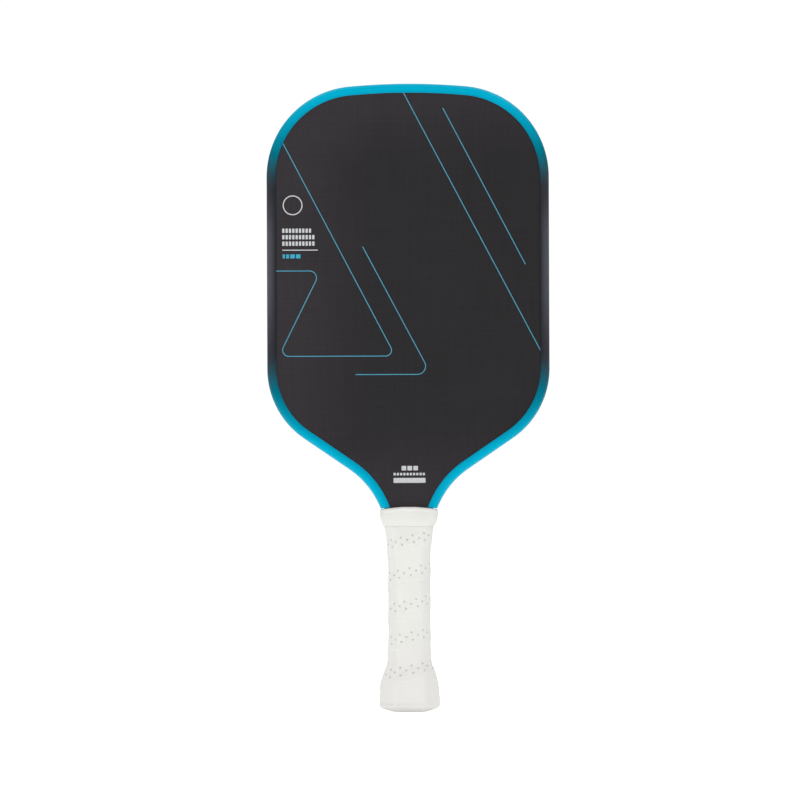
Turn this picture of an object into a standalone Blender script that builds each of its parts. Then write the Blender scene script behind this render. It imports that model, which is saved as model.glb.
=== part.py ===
"""Pickleball paddle with a colour-faded edge guard and a white perforated grip.

X runs across the face, Y through the thickness and Z up along the paddle.
The front face looks along -Y. The flat butt end lies on Z = 0, centred on the origin.
Named dimensions are in millimetres. The mesh builders turn them into metres.
"""

import math

import bmesh
import bpy
from mathutils import Matrix

MM = 0.001
GAP = 0.3

# Outline of the whole paddle, guard included: a chain of tangent arcs from crown to neck.
LENGTH = 419.0
HALF_WIDTH = 94.2
CROWN_RADIUS = 430.0
CORNER_RADIUS = 60.6
SHOULDER_RADIUS = 56.3
SHOULDER_HEIGHT = 228.8
FLANK_SLOPE = math.radians(34.4)
NECK_RADIUS = 56.7
NECK_HALF_WIDTH = 15.1

# Layers of the blank, as distances from the middle plane.
CORE_HALF = 6.4
FILM_INNER, FILM_OUTER = 6.7, 7.0
SHEET_INNER, SHEET_OUTER = 7.3, 8.0
BLANK_INSET = 2.5
FOAM_INNER_INSET = 9.5
CORE_INSET = 9.8
CORE_SPLIT = 153.5
HANDLE_END = 6.3

# Honeycomb: cell pitch across the flats and wall between two cells.
CELL_PITCH = 13.0
CELL_WALL = 0.6
CELL_MARGIN = 0.8

# Edge guard: a U-shaped extrusion pressed over the edge of the blank.
GUARD_HALF_THICKNESS = 9.5
GUARD_NOSE_DEPTH = 3.0
GUARD_LIP_DEPTH = 6.2
GUARD_LIP_DROP = 0.8
GUARD_WEB = 1.5
GUARD_END = 135.5
GUARD_END_TILT = 0.143
TAPE_INNER, TAPE_OUTER = 2.2, 1.8
TAPE_HALF_WIDTH = 7.7

# Handle pallets and the grip wound over them.
PALLET_TOP = 14.2
PALLET_CUT = 5.0
PALLET_RAMP_START, PALLET_END = 113.3, 134.2
PALLET_END_TOP = 9.2
PALLET_SIDE = 8.6
NECK_HEIGHTS = (117.8, 122.3, 126.3)
GRIP_HALF_X, GRIP_HALF_Y = 14.3, 16.1
GRIP_CUT = 6.1
GRIP_ROUND = 4.0
GRIP_THICKNESS = 1.6
GRIP_START, GRIP_END = 5.5, 130.2
GRIP_STEP = 123.7
GRIP_NECK_X = 16.1
INNER_ROUND = 0.6

# Butt flare: full size up to FLARE_LOW, then a parabola to FLARE_HIGH, then a slow taper.
BUTT_HALF_X, BUTT_HALF_Y = 20.3, 20.6
BUTT_CUT = 9.5
FLARE_LOW, FLARE_HIGH, TAPER_END = 9.2, 31.2, 59.0
FLARE_FOOT_X = 15.2
NECK_FLARE_START, NECK_FLARE = 93.0, 2.4
FLARE_HEIGHTS = (FLARE_LOW, 13.0, 17.0, 21.0, 25.0)
FLANGE_TOP = 5.2
FLANGE_SPREAD = 10.5
FLANGE_STEPS = 5
CAP_TOP = 29.0
POCKET_FLOOR = 6.0
BADGE_RADIUS = 8.5
BADGE_THICKNESS = 0.6
BADGE_RECESS = 0.9

# Rubber collar over the top of the grip.
COLLAR_LOW, COLLAR_WIDEST, COLLAR_RIM = 123.9, 132.0, 135.1
COLLAR_LOW_X, COLLAR_WIDE_X, COLLAR_RIM_X = 17.4, 19.5, 19.1
COLLAR_LOW_Y, COLLAR_RIM_Y = 14.7, 11.4
COLLAR_LOW_CUT, COLLAR_RIM_CUT = 5.0, 3.2
COLLAR_ROUND = 4.0
COLLAR_ARCH, COLLAR_ARCH_START = 1.7, 125.2
FINISH_LOW, FINISH_MIDDLE, FINISH_HIGH = 125.4, 127.6, 129.8
FINISH_HEIGHTS = (FINISH_LOW, FINISH_MIDDLE, FINISH_HIGH)
FINISH_THICKNESS = 0.2
NECK_ROUND = 2.5

# Staples through the butt cap into the pallets.
STAPLE_Z = 17.0
STAPLE_HALF_X = 5.0
STAPLE_WIRE_Y, STAPLE_WIRE_Z, STAPLE_LEG_X = 0.6, 1.2, 0.8
STAPLE_OUTER_Y, STAPLE_TIP_Y = 17.6, 9.6
CUTTER_REACH = 22.0

RING_STEPS = 2


def clear_scene():
    for old in list(bpy.data.objects):
        bpy.data.objects.remove(old, do_unlink=True)


def material(name, colour, roughness, metallic=0.0):
    made = bpy.data.materials.new(name)
    made.use_nodes = True
    shader = made.node_tree.nodes["Principled BSDF"]
    shader.inputs["Base Color"].default_value = (*colour, 1.0)
    shader.inputs["Roughness"].default_value = roughness
    shader.inputs["Metallic"].default_value = metallic
    made.diffuse_color = (*colour, 1.0)
    return made


def arc(centre_x, centre_z, radius, start, end, steps):
    """Points on an arc. Angles are measured from straight up, towards +X."""
    points = []
    for step in range(steps + 1):
        angle = start + (end - start) * step / steps
        points.append((centre_x + radius * math.sin(angle), centre_z + radius * math.cos(angle)))
    return points


def half_outline(inset):
    """Right half of the outline moved inward by inset, from the crown down the neck."""
    corner_x = HALF_WIDTH - CORNER_RADIUS
    crown_z = LENGTH - CROWN_RADIUS
    corner_z = crown_z + math.sqrt((CROWN_RADIUS - CORNER_RADIUS) ** 2 - corner_x**2)
    crown_angle = math.atan2(corner_x, corner_z - crown_z)
    shoulder_x = HALF_WIDTH - SHOULDER_RADIUS
    quarter = math.pi / 2
    flank_angle = math.pi - FLANK_SLOPE
    neck_x = NECK_HALF_WIDTH + NECK_RADIUS
    flank_x = shoulder_x + SHOULDER_RADIUS * math.sin(FLANK_SLOPE)
    flank_z = SHOULDER_HEIGHT - SHOULDER_RADIUS * math.cos(FLANK_SLOPE)
    neck_top_x = neck_x - NECK_RADIUS * math.sin(FLANK_SLOPE)
    neck_top_z = flank_z - (flank_x - neck_top_x) * math.tan(FLANK_SLOPE)
    neck_z = neck_top_z - NECK_RADIUS * math.cos(FLANK_SLOPE)
    crown = arc(0.0, crown_z, CROWN_RADIUS - inset, 0.0, crown_angle, 3)
    corner = arc(corner_x, corner_z, CORNER_RADIUS - inset, crown_angle, quarter, 12)
    shoulder = arc(shoulder_x, SHOULDER_HEIGHT, SHOULDER_RADIUS - inset, quarter, flank_angle, 7)
    neck = arc(neck_x, neck_z, NECK_RADIUS + inset, -FLANK_SLOPE, -quarter, 8)
    end = [(NECK_HALF_WIDTH - inset, 0.0)]
    return crown + corner[1:] + shoulder + neck + end


def level_point(first, second, level):
    share = (first[1] - level) / (first[1] - second[1])
    return (first[0] + (second[0] - first[0]) * share, level)


def part_above(points, level):
    """The part of a falling line that lies above a height, ended exactly on it."""
    kept = [points[0]]
    for first, second in zip(points, points[1:]):
        if second[1] <= level:
            kept.append(level_point(first, second, level))
            break
        kept.append(second)
    return kept


def part_below(points, level):
    falling = list(reversed([(x, -z) for x, z in points]))
    return [(x, -z) for x, z in reversed(part_above(falling, -level))]


def half_width_at(points, level):
    return part_above(points, level)[-1][0]


def mirrored(points):
    """Left half of a right-hand line, running the other way."""
    return [(-x, z) for x, z in reversed(points) if x > 1e-6]


def blank_half_width(z):
    return half_width_at(half_outline(BLANK_INSET), z)


def add_object(name, mesh, surface, location=(0.0, 0.0, 0.0), turn=0.0):
    mesh.materials.clear()
    mesh.materials.append(surface)
    mesh.polygons.foreach_set("use_smooth", [True] * len(mesh.polygons))
    mesh.set_sharp_from_angle(angle=math.radians(35))
    made = bpy.data.objects.new(name, mesh)
    made.location = [value * MM for value in location]
    made.rotation_euler = (0.0, 0.0, turn)
    bpy.context.scene.collection.objects.link(made)
    return made


def finish_mesh(bm, name):
    """Welds, turns the faces outward and writes the mesh in metres."""
    bmesh.ops.remove_doubles(bm, verts=bm.verts, dist=0.0001)
    bmesh.ops.recalc_face_normals(bm, faces=bm.faces)
    bmesh.ops.scale(bm, vec=(MM, MM, MM), verts=bm.verts)
    mesh = bpy.data.meshes.new(name)
    bm.to_mesh(mesh)
    bm.free()
    return mesh


def plate(name, loops, thickness, surface, location=(0.0, 0.0, 0.0)):
    """A flat plate in the XZ plane. The first loop is its edge and the others are holes."""
    curve = bpy.data.curves.new(name + "_outline", "CURVE")
    curve.dimensions = "2D"
    curve.fill_mode = "BOTH"
    curve.extrude = thickness / 2
    for loop in loops:
        spline = curve.splines.new("POLY")
        spline.points.add(len(loop) - 1)
        for point, (x, z) in zip(spline.points, loop):
            point.co = (x, z, 0.0, 1.0)
        spline.use_cyclic_u = True
    guide = bpy.data.objects.new(name + "_outline", curve)
    bpy.context.scene.collection.objects.link(guide)
    graph = bpy.context.evaluated_depsgraph_get()
    flat = bpy.data.meshes.new_from_object(guide.evaluated_get(graph))
    bm = bmesh.new()
    bm.from_mesh(flat)
    bm.transform(Matrix.Rotation(math.pi / 2, 4, "X"))
    bpy.data.objects.remove(guide, do_unlink=True)
    bpy.data.meshes.remove(flat)
    bpy.data.curves.remove(curve)
    return add_object(name, finish_mesh(bm, name), surface, location)


def section(half_x, half_y, cut, rounding):
    """An eight-sided section with rounded corners, counter-clockwise seen from above."""
    corners = [
        (half_x, cut - half_y),
        (half_x, half_y - cut),
        (half_x - cut, half_y),
        (cut - half_x, half_y),
        (-half_x, half_y - cut),
        (-half_x, cut - half_y),
        (cut - half_x, -half_y),
        (half_x - cut, -half_y),
    ]
    turn = math.pi / 4
    reach = rounding * math.tan(turn / 2)
    points = []
    for index, (corner_x, corner_y) in enumerate(corners):
        heading = (index + 1) * turn
        start_x = corner_x - reach * math.cos(heading)
        start_y = corner_y - reach * math.sin(heading)
        centre_x = start_x - rounding * math.sin(heading)
        centre_y = start_y + rounding * math.cos(heading)
        for step in range(RING_STEPS + 1):
            angle = heading - math.pi / 2 + turn * step / RING_STEPS
            x = centre_x + rounding * math.cos(angle)
            y = centre_y + rounding * math.sin(angle)
            points.append((x, y))
    return points


def ring(half_x, half_y, cut, rounding, z, arch=0.0):
    """A section at a height. With an arch, the middle of its front and back stands higher."""
    points = section(half_x, half_y, cut, rounding)
    return [(x, y, z + arch * (1.0 - (x / half_x) ** 2)) for x, y in points]


def round_ring(radius, z):
    """A circle with as many points as a section, starting in the same direction."""
    count = 8 * (RING_STEPS + 1)
    pitch = 2 * math.pi / count
    start = -math.pi / 8 - pitch * RING_STEPS / 2
    angles = [start + pitch * index for index in range(count)]
    return [(radius * math.cos(angle), radius * math.sin(angle), z) for angle in angles]


def loft(rings, joined):
    """Skins rings in order. Joined, the last meets the first. Otherwise both ends are capped."""
    bm = bmesh.new()
    rows = [[bm.verts.new(point) for point in one] for one in rings]
    pairs = list(zip(rows, rows[1:]))
    if joined:
        pairs.append((rows[-1], rows[0]))
    else:
        bm.faces.new(rows[0])
        bm.faces.new(rows[-1])
    for low, high in pairs:
        for index in range(len(low)):
            following = (index + 1) % len(low)
            bm.faces.new((low[index], low[following], high[following], high[index]))
    return bm


def grip_half_x(z):
    """Outer half width of the grip at a height."""
    if z <= FLARE_LOW:
        return BUTT_HALF_X
    if z <= FLARE_HIGH:
        share = (z - FLARE_LOW) / (FLARE_HIGH - FLARE_LOW)
        return BUTT_HALF_X - (BUTT_HALF_X - FLARE_FOOT_X) * share**2.4
    if z <= TAPER_END:
        share = (TAPER_END - z) / (TAPER_END - FLARE_HIGH)
        return GRIP_HALF_X + (FLARE_FOOT_X - GRIP_HALF_X) * share**2
    share = max(0.0, (z - NECK_FLARE_START) / (GRIP_STEP - NECK_FLARE_START))
    return GRIP_HALF_X + NECK_FLARE * share**2.5


def butt_share(z):
    """1 at the full size of the butt and 0 along the handle."""
    if z > TAPER_END:
        return 0.0
    return (grip_half_x(z) - GRIP_HALF_X) / (BUTT_HALF_X - GRIP_HALF_X)


def pallet_top(z):
    ramp = (z - PALLET_RAMP_START) / (PALLET_END - PALLET_RAMP_START)
    return PALLET_TOP - (PALLET_TOP - PALLET_END_TOP) * min(1.0, max(0.0, ramp))


def pallet_cut(z):
    return min(PALLET_CUT, pallet_top(z) - PALLET_SIDE)


def grown(half_x, half_y, cut, amount):
    """An eight-sided section moved outward by an amount on every side."""
    return half_x + amount, half_y + amount, cut + (2.0 - math.sqrt(2.0)) * amount


def handle_size(z, amount=0.0):
    """Half sizes and corner cut around the bare handle, moved outward by an amount."""
    return grown(blank_half_width(z), pallet_top(z), pallet_cut(z), amount)


def grip_size(z, amount=0.0):
    """Half sizes and corner cut of the outside of the grip, moved outward by an amount."""
    wide = butt_share(z)
    half_y = GRIP_HALF_Y + (BUTT_HALF_Y - GRIP_HALF_Y) * wide
    cut = GRIP_CUT + (BUTT_CUT - GRIP_CUT) * wide
    half_x = grip_half_x(z)
    if z > PALLET_RAMP_START:
        half_y, cut = handle_size(z, GAP + GRIP_THICKNESS)[1:]
    if z > GRIP_STEP:
        half_x = GRIP_NECK_X
    return grown(half_x, half_y, cut, amount)


def build_layers(paints):
    blank = half_outline(BLANK_INSET)
    sheet = part_above(blank, HANDLE_END)
    sheet_loop = sheet + mirrored(sheet)
    film = part_above(half_outline(BLANK_INSET + 0.2), HANDLE_END + 0.2)
    film_loop = film + mirrored(film)
    for side, name in ((-1, "front"), (1, "back")):
        middle = side * (SHEET_INNER + SHEET_OUTER) / 2
        thickness = SHEET_OUTER - SHEET_INNER
        plate(name + "_face_sheet", [sheet_loop], thickness, paints["carbon"], (0, middle, 0))
        middle = side * (FILM_INNER + FILM_OUTER) / 2
        thickness = FILM_OUTER - FILM_INNER
        plate(name + "_adhesive_film", [film_loop], thickness, paints["film"], (0, middle, 0))


def build_core(paints):
    depth = 2 * CORE_HALF
    blank = half_outline(BLANK_INSET)
    outer = part_above(blank, CORE_SPLIT + GAP)
    inner = part_above(half_outline(FOAM_INNER_INSET), CORE_SPLIT + GAP)
    left_outer = mirrored(outer)
    left_inner = mirrored(inner)
    horseshoe = left_outer + outer + list(reversed(left_inner + inner))
    plate("perimeter_foam", [horseshoe], depth, paints["foam"])
    tongue = part_below(part_above(blank, HANDLE_END), CORE_SPLIT - GAP)
    plate("tongue_core", [tongue + mirrored(tongue)], depth, paints["tongue"])
    edge = part_above(half_outline(CORE_INSET), CORE_SPLIT + GAP)
    cells = honeycomb_cells(CORE_INSET + CELL_MARGIN, CORE_SPLIT + GAP + CELL_MARGIN)
    plate("honeycomb_core", [edge + mirrored(edge)] + cells, depth, paints["core"])


def honeycomb_cells(inset, floor):
    """Every whole six-sided cell that fits inside the inset outline and above the floor."""
    border = half_outline(inset)
    top = border[0][1]
    radius = (CELL_PITCH - CELL_WALL) / math.sqrt(3.0)
    row_height = CELL_PITCH * math.sqrt(3.0) / 2
    rows = int((top - floor) / row_height) + 1
    columns = int(HALF_WIDTH / CELL_PITCH) + 1
    cells = []
    for row in range(rows):
        centre_z = floor + radius + row * row_height
        shift = 0.5 * (row % 2)
        for column in range(-columns, columns + 1):
            centre_x = (column + shift) * CELL_PITCH
            cell = []
            for corner in range(6):
                angle = math.pi / 3 * corner
                cell.append((centre_x + radius * math.sin(angle), centre_z + radius * math.cos(angle)))
            fits = all(floor <= z < top and abs(x) < half_width_at(border, z) for x, z in cell)
            if fits:
                cells.append(cell)
    return cells


def swept_guard(profile, low, tilt):
    """Sweeps a closed (depth, y) profile around the outline and trims both ends."""
    bm = bmesh.new()
    rows = []
    for depth, y in profile:
        line = half_outline(depth)
        whole = mirrored(line) + line
        rows.append([bm.verts.new((x, y, z)) for x, z in whole])
    stations = len(rows[0])
    for index in range(len(rows)):
        here, there = rows[index], rows[(index + 1) % len(rows)]
        for station in range(stations - 1):
            bm.faces.new((here[station], here[station + 1], there[station + 1], there[station]))
    bm.faces.new([row[0] for row in rows])
    bm.faces.new([row[-1] for row in rows])
    for side in (-1, 1):
        verts = [vert for vert in bm.verts if vert.co.x * side > 0.0]
        edges = [edge for edge in bm.edges if all(vert.co.x * side > 0.0 for vert in edge.verts)]
        faces = [face for face in bm.faces if all(vert.co.x * side > 0.0 for vert in face.verts)]
        edge_point = (side * COLLAR_RIM_X, 0.0, low)
        cut = bmesh.ops.bisect_plane(
            bm,
            geom=verts + edges + faces,
            dist=0.00001,
            plane_co=edge_point,
            plane_no=(side * tilt, 0.0, 1.0),
            clear_inner=True,
        )
        rim = [item for item in cut["geom_cut"] if isinstance(item, bmesh.types.BMEdge)]
        bmesh.ops.contextual_create(bm, geom=rim)
    return bm


def guard_profile():
    """The U section: a rounded nose, two lips that thin towards their edge, and the channel."""
    half = []
    for step in range(6):
        angle = math.pi / 2 * step / 5
        depth = GUARD_NOSE_DEPTH * (1.0 - math.cos(angle))
        half.append((depth, GUARD_HALF_THICKNESS * math.sin(angle)))
    for step in range(1, 4):
        share = step / 3
        depth = GUARD_NOSE_DEPTH + (GUARD_LIP_DEPTH - GUARD_NOSE_DEPTH) * share
        half.append((depth, GUARD_HALF_THICKNESS - GUARD_LIP_DROP * share**2))
    half.append((GUARD_LIP_DEPTH, SHEET_OUTER + GAP))
    half.append((GUARD_WEB, SHEET_OUTER + GAP))
    return half + [(depth, -y) for depth, y in reversed(half[1:])]


def build_guard(paints):
    bm = swept_guard(guard_profile(), GUARD_END, GUARD_END_TILT)
    add_object("edge_guard", finish_mesh(bm, "edge_guard"), paints["guard"])
    strip = [
        (TAPE_OUTER, -TAPE_HALF_WIDTH),
        (TAPE_OUTER, TAPE_HALF_WIDTH),
        (TAPE_INNER, TAPE_HALF_WIDTH),
        (TAPE_INNER, -TAPE_HALF_WIDTH),
    ]
    bm = swept_guard(strip, GUARD_END + 1.0, GUARD_END_TILT)
    add_object("edge_guard_tape", finish_mesh(bm, "edge_guard_tape"), paints["tape"])


def staple_cutter():
    """A guide shape, a gap larger than a staple, open towards the outside of the cap."""
    bm = bmesh.new()
    outer = STAPLE_HALF_X + GAP
    inner = STAPLE_HALF_X - STAPLE_LEG_X - GAP
    back = STAPLE_OUTER_Y - STAPLE_WIRE_Y - GAP
    tip = STAPLE_TIP_Y - GAP
    shape = [(-outer, CUTTER_REACH), (outer, CUTTER_REACH), (outer, tip), (inner, tip)]
    shape += [(inner, back), (-inner, back), (-inner, tip), (-outer, tip)]
    extrude_shape(bm, shape, STAPLE_Z, STAPLE_WIRE_Z / 2 + GAP)
    paint = material("cutter", (0.5, 0.5, 0.5), 0.5)
    made = add_object("staple_cutter", finish_mesh(bm, "staple_cutter"), paint)
    made.hide_render = True
    made.display_type = "WIRE"
    return made


def extrude_shape(bm, shape, middle, half):
    low = [bm.verts.new((x, y, middle - half)) for x, y in shape]
    high = [bm.verts.new((x, y, middle + half)) for x, y in shape]
    bm.faces.new(list(reversed(low)))
    bm.faces.new(high)
    for index in range(len(shape)):
        following = (index + 1) % len(shape)
        bm.faces.new((low[index], low[following], high[following], high[index]))


def cut_slots(target, cutter):
    slots = target.modifiers.new("staple_slots", "BOOLEAN")
    slots.operation = "DIFFERENCE"
    slots.solver = "EXACT"
    slots.object = cutter


def pallet_mesh(name):
    """A slab for the back of the handle. It thins towards the face under the collar."""
    bm = bmesh.new()
    rows = []
    for z in (HANDLE_END, TAPER_END, PALLET_RAMP_START, *NECK_HEIGHTS, GRIP_END, PALLET_END):
        width = blank_half_width(z)
        top = pallet_top(z)
        cut = pallet_cut(z)
        low = SHEET_OUTER + GAP
        shape = [(-width, low), (width, low), (width, top - cut), (width - cut, top)]
        shape += [(cut - width, top), (-width, top - cut)]
        rows.append([bm.verts.new((x, y, z)) for x, y in shape])
    for low_row, high_row in zip(rows, rows[1:]):
        for index in range(6):
            following = (index + 1) % 6
            bm.faces.new((low_row[index], low_row[following], high_row[following], high_row[index]))
    bm.faces.new(rows[0])
    bm.faces.new(rows[-1])
    return finish_mesh(bm, name)


def butt_cap_mesh():
    rings = [round_ring(BADGE_RADIUS + GAP, BADGE_RECESS), round_ring(BADGE_RADIUS + GAP, 0.0)]
    for step in range(FLANGE_STEPS + 1):
        share = step / FLANGE_STEPS
        z = FLANGE_TOP * share
        inset = FLANGE_SPREAD * (1.0 - share) ** 2.7
        rings.append(ring(*grip_size(z, -inset), GRIP_ROUND + 1.0, z))
    wall = -(GRIP_THICKNESS + GAP)
    for z in (FLANGE_TOP, *FLARE_HEIGHTS, CAP_TOP):
        rings.append(ring(*grip_size(z, wall), GRIP_ROUND - 1.0, z))
    for z in (CAP_TOP, POCKET_FLOOR):
        rings.append(ring(*handle_size(z, GAP), INNER_ROUND, z))
    return finish_mesh(loft(rings, False), "butt_cap")


def grip_mesh():
    """The cushioned tape as one sleeve, from the flange of the cap up under the collar."""
    rings = []
    outer_heights = (GRIP_START, *FLARE_HEIGHTS, 28.5, FLARE_HIGH, 37.0, 47.0, TAPER_END)
    outer_heights += (NECK_FLARE_START, 102.0, 108.5, PALLET_RAMP_START, *NECK_HEIGHTS[:2], GRIP_STEP)
    for z in outer_heights:
        rings.append(ring(*grip_size(z), GRIP_ROUND, z))
    for z in (GRIP_STEP + 0.2, *FINISH_HEIGHTS, GRIP_END):
        rings.append(ring(*grip_size(z), NECK_ROUND, z))
    for z in (GRIP_END, *reversed(NECK_HEIGHTS), PALLET_RAMP_START, TAPER_END, CAP_TOP + 3.5):
        rings.append(ring(*handle_size(z, GAP), INNER_ROUND, z))
    for z in (CAP_TOP + 1.5, *reversed(FLARE_HEIGHTS), GRIP_START):
        rings.append(ring(*grip_size(z, -GRIP_THICKNESS), GRIP_ROUND - 1.0, z))
    return finish_mesh(loft(rings, True), "cushion_grip")


def finishing_tape_mesh():
    rings = []
    for z in FINISH_HEIGHTS:
        rings.append(ring(*grip_size(z, GAP + FINISH_THICKNESS), NECK_ROUND, z))
    for z in reversed(FINISH_HEIGHTS):
        rings.append(ring(*grip_size(z, GAP), NECK_ROUND, z))
    return finish_mesh(loft(rings, True), "finishing_tape")


def collar_size(z):
    """Half sizes and corner cut of the outside of the collar."""
    share = min(1.0, (z - COLLAR_LOW) / (COLLAR_WIDEST - COLLAR_LOW))
    half_x = COLLAR_LOW_X + (COLLAR_WIDE_X - COLLAR_LOW_X) * (1.0 - (1.0 - share) ** 1.4)
    if z > COLLAR_WIDEST:
        share = (z - COLLAR_WIDEST) / (COLLAR_RIM - COLLAR_WIDEST)
        half_x = COLLAR_WIDE_X + (COLLAR_RIM_X - COLLAR_WIDE_X) * share
    share = (z - COLLAR_LOW) / (COLLAR_RIM - COLLAR_LOW)
    half_y = COLLAR_LOW_Y + (COLLAR_RIM_Y - COLLAR_LOW_Y) * share**1.8
    cut = COLLAR_LOW_CUT + (COLLAR_RIM_CUT - COLLAR_LOW_CUT) * share
    return half_x, half_y, cut


def collar_arch(z):
    rise = (z - COLLAR_ARCH_START) / (COLLAR_RIM - COLLAR_ARCH_START)
    return COLLAR_ARCH * max(0.0, rise)


def collar_mesh():
    """A stretched rubber ring. Inside it steps around the grip, the tape and the pallets."""
    rings = []
    for z in (COLLAR_LOW, COLLAR_ARCH_START, FINISH_MIDDLE, FINISH_HIGH, COLLAR_WIDEST, PALLET_END):
        rings.append(ring(*collar_size(z), COLLAR_ROUND, z, collar_arch(z)))
    rim = collar_size(COLLAR_RIM)
    rings.append(ring(*grown(*rim, -0.3), COLLAR_ROUND - 0.4, COLLAR_RIM - 0.3, COLLAR_ARCH))
    rings.append(ring(*grown(*rim, -0.9), COLLAR_ROUND - 0.8, COLLAR_RIM, COLLAR_ARCH))
    width = blank_half_width(COLLAR_RIM)
    mouth = (width + GAP, SHEET_OUTER + 1.5 * GAP, GAP)
    rings.append(ring(*mouth, 0.2, COLLAR_RIM, COLLAR_ARCH))
    for z in (PALLET_END + GAP, GRIP_END + 1.0):
        rings.append(ring(*handle_size(z, GAP), INNER_ROUND, z))
    clear = 2 * GAP + FINISH_THICKNESS
    for z in (GRIP_END + GAP, FINISH_MIDDLE, FINISH_LOW - GAP):
        rings.append(ring(*grip_size(z, clear), NECK_ROUND, z))
    for z in (FINISH_LOW - 2 * GAP, COLLAR_LOW):
        rings.append(ring(*grip_size(z, GAP), NECK_ROUND, z))
    return finish_mesh(loft(rings, True), "grip_collar")


def staple_mesh():
    bm = bmesh.new()
    outer = STAPLE_HALF_X
    inner = STAPLE_HALF_X - STAPLE_LEG_X
    back = STAPLE_OUTER_Y - STAPLE_WIRE_Y
    shape = [(-outer, STAPLE_OUTER_Y), (outer, STAPLE_OUTER_Y), (outer, STAPLE_TIP_Y)]
    shape += [(inner, STAPLE_TIP_Y), (inner, back), (-inner, back)]
    shape += [(-inner, STAPLE_TIP_Y), (-outer, STAPLE_TIP_Y)]
    extrude_shape(bm, shape, STAPLE_Z, STAPLE_WIRE_Z / 2)
    return finish_mesh(bm, "staple")


def badge_mesh():
    bm = bmesh.new()
    bmesh.ops.create_cone(
        bm,
        cap_ends=True,
        segments=48,
        radius1=BADGE_RADIUS,
        radius2=BADGE_RADIUS,
        depth=BADGE_THICKNESS,
    )
    return finish_mesh(bm, "butt_badge")


def build_handle(paints):
    cutter = staple_cutter()
    front_cutter = cutter.copy()
    front_cutter.name = "staple_cutter_front"
    front_cutter.rotation_euler = (0.0, 0.0, math.pi)
    bpy.context.scene.collection.objects.link(front_cutter)
    cap = add_object("butt_cap", butt_cap_mesh(), paints["cap"])
    for turn, name, slot_cutter in ((math.pi, "front", front_cutter), (0.0, "back", cutter)):
        pallet_name = name + "_handle_pallet"
        pallet = add_object(pallet_name, pallet_mesh(pallet_name), paints["pallet"], turn=turn)
        cut_slots(pallet, slot_cutter)
        cut_slots(cap, slot_cutter)
        add_object(name + "_butt_staple", staple_mesh(), paints["staple"], turn=turn)
    add_object("butt_badge", badge_mesh(), paints["badge"], (0, 0, BADGE_THICKNESS / 2))
    add_object("cushion_grip", grip_mesh(), paints["grip"])
    add_object("finishing_tape", finishing_tape_mesh(), paints["finish"])
    add_object("grip_collar", collar_mesh(), paints["collar"])


def main():
    clear_scene()
    paints = {
        "carbon": material("carbon_face", (0.035, 0.034, 0.036), 0.55),
        "film": material("adhesive_film", (0.55, 0.45, 0.22), 0.35),
        "core": material("honeycomb_polymer", (0.78, 0.79, 0.78), 0.5),
        "foam": material("edge_foam", (0.80, 0.76, 0.62), 0.9),
        "tongue": material("tongue_foam", (0.70, 0.62, 0.45), 0.85),
        "guard": material("guard_vinyl", (0.02, 0.30, 0.42), 0.35),
        "tape": material("guard_tape", (0.85, 0.85, 0.82), 0.7),
        "pallet": material("pallet_foam", (0.22, 0.22, 0.23), 0.8),
        "cap": material("cap_rubber", (0.83, 0.82, 0.80), 0.55),
        "staple": material("staple_steel", (0.62, 0.62, 0.63), 0.3, 1.0),
        "badge": material("badge_plastic", (0.80, 0.79, 0.77), 0.3),
        "grip": material("grip_foam", (0.84, 0.84, 0.81), 0.65),
        "finish": material("finishing_vinyl", (0.05, 0.05, 0.05), 0.4),
        "collar": material("collar_rubber", (0.82, 0.82, 0.79), 0.5),
    }
    build_layers(paints)
    build_core(paints)
    build_guard(paints)
    build_handle(paints)


main()
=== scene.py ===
"""Looks of the pickleball paddle: fine edge guard, wound grip, collar, cap, print and light."""

import math

import bmesh
import bpy
from mathutils import Matrix, Vector


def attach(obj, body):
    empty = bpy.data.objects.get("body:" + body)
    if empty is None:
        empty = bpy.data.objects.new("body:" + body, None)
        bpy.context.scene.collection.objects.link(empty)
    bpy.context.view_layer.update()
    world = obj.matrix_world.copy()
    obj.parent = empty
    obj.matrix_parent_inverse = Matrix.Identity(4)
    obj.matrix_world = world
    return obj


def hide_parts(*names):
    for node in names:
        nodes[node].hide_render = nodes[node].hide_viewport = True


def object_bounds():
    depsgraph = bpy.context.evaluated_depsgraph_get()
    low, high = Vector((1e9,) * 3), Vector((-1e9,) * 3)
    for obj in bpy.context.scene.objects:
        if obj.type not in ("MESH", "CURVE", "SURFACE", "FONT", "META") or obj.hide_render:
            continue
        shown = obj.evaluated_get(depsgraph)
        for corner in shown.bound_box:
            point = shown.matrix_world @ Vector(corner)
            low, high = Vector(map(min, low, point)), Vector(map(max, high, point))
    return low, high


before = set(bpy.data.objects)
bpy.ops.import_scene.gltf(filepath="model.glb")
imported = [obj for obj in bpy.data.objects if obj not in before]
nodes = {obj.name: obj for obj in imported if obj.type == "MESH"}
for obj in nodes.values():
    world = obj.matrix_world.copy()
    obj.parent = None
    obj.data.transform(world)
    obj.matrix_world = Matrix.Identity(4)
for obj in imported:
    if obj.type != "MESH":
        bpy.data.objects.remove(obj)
cad_low, cad_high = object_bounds()

MM = 0.001
TURN = 2 * math.pi
QUARTER_TURN = TURN / 4
EIGHTH_TURN = TURN / 8

# A cut merges with points nearer than this to its plane, and a point nearer than this to the
# middle is on it, in millimetres.
CUT_REACH, MIDDLE_REACH = 0.00001, 0.000001

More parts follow.
